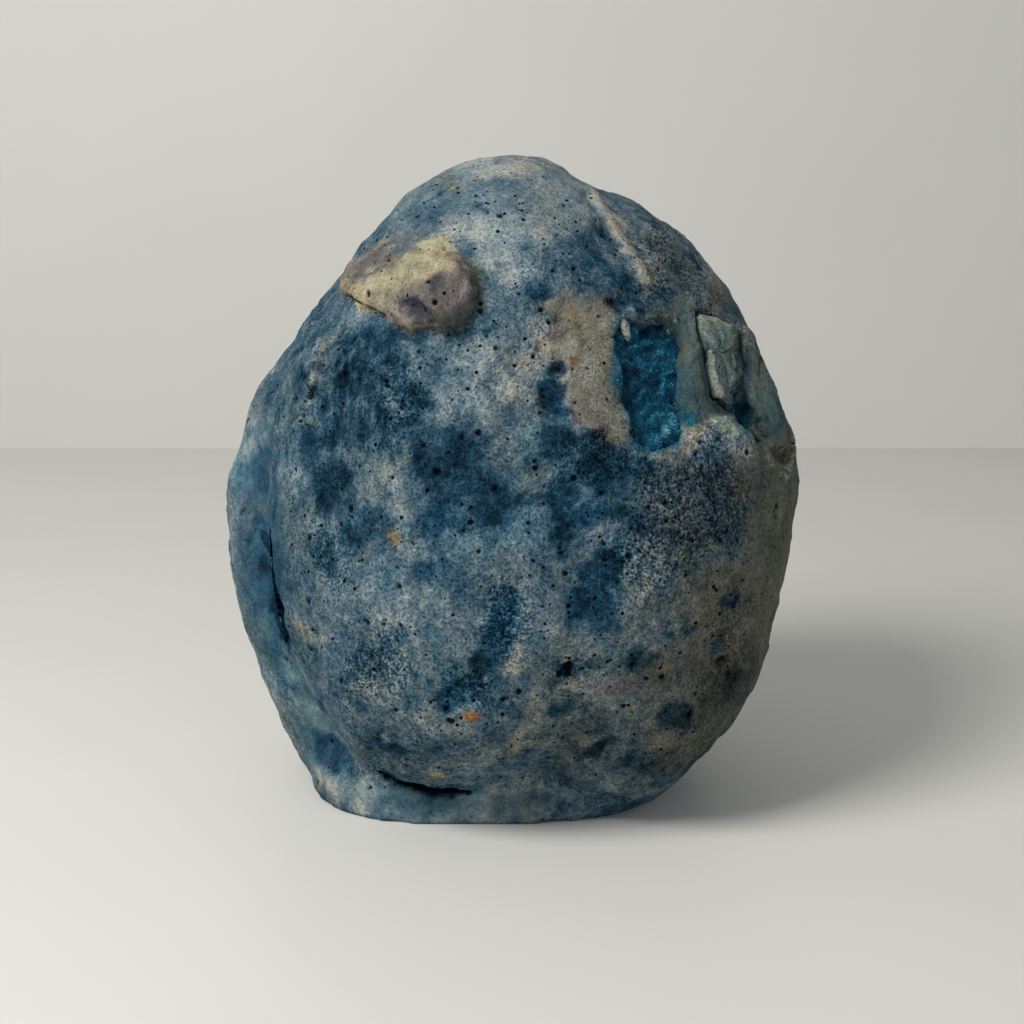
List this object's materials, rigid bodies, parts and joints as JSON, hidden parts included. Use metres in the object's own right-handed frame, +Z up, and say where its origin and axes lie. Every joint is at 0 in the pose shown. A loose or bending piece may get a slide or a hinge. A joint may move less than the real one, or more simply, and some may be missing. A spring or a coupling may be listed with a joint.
{
  "type": "blue agate nodule",
  "caption": "Rounded, pitted agate nodule with a blue-dyed rind, standing on a sawn flat base, with a knob, a tan vein, a broken recess and a small pocket of teal crystals.",
  "frame": {"origin": "on the sawn base, under the middle of the stone's bounding box", "axes": "+Z up from the base, the front with the knob and the pocket faces -Y"},
  "size_m": [0.1014, 0.0862, 0.1097],
  "materials": {
    "rind": "matte",
    "druse": "satin"
  },
  "bodies": {
    "root": {"nodule": "rind", "druzy_crust": "druse"}
  },
  "joints": []
}
